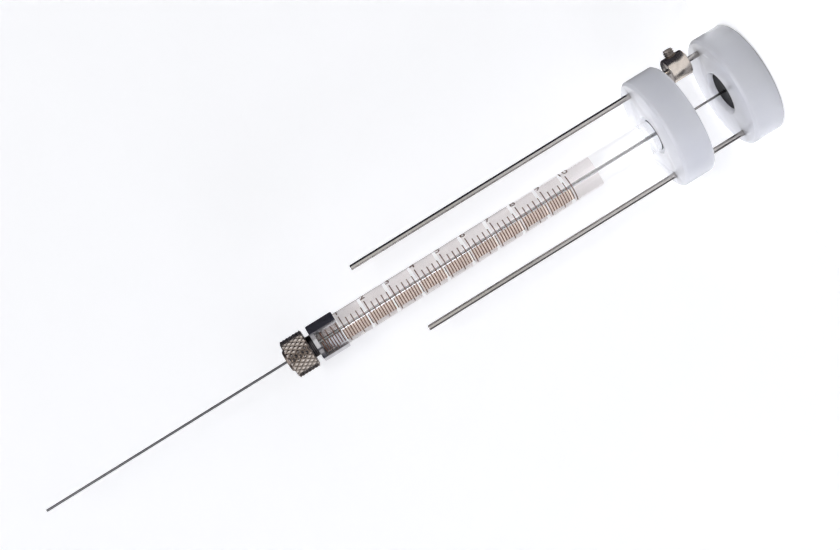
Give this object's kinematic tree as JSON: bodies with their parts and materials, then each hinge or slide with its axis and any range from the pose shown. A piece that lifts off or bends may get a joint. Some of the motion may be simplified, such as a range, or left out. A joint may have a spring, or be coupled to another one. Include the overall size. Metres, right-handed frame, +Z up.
{
  "type": "microsyringe",
  "caption": "Small glass laboratory syringe with a removable needle, a graduated barrel and a plunger guided on two rods between two discs, with a clamped stop collar.",
  "frame": {"origin": "the centre of the thumb disc's flat face, which stands on the bench", "axes": "+Z up the syringe's own axis, from the thumb disc to the needle's tip; +Y towards the longer guide rod and its collar; +X the side that the scale faces"},
  "size_m": [0.0222, 0.0233, 0.1516],
  "materials": {
    "needle_steel": "drawn stainless tube",
    "seal": "white fluoropolymer",
    "nickel": "nickel plated, warm tone",
    "glass": "clear drawn glass",
    "enamel": "dark brown fired enamel print",
    "disc_plastic": "turned white plastic, smooth faces",
    "wire_steel": "ground stainless wire",
    "rod_steel": "ground stainless rod",
    "button_steel": "dark blued steel"
  },
  "bodies": {
    "barrel": {"needle": "needle_steel", "needle_seal": "seal", "barrel_hub": "nickel", "barrel": "glass", "scale_marks": "enamel", "front_flange": "disc_plastic"},
    "nut": {"hub_nut": "nickel"},
    "plunger": {"rear_knob": "disc_plastic", "plunger_wire": "wire_steel", "plunger_button": "button_steel", "long_guide_rod": "rod_steel", "short_guide_rod": "rod_steel"},
    "collar": {"stop_collar": "nickel"},
    "clamp_screw": {"collar_screw": "nickel"}
  },
  "joints": [
    {"name": "nut_turn", "type": "hinge", "parent": "barrel", "child": "nut", "pos_m": [0, 0, 0.1008], "axis": [0, 0, 1], "continuous": true},
    {"name": "plunger_slide", "type": "slide", "parent": "plunger", "child": "barrel", "axis": [0, 0, 1], "range_m": [0, 0.0541]},
    {"name": "collar_slide", "type": "slide", "parent": "plunger", "child": "collar", "axis": [0, 0, -1], "range_m": [-0.0017, 0.0026]},
    {"name": "screw_turn", "type": "hinge", "parent": "collar", "child": "clamp_screw", "pos_m": [0, 0.0085, 0.0112], "axis": [0, 1, 0], "continuous": true}
  ]
}
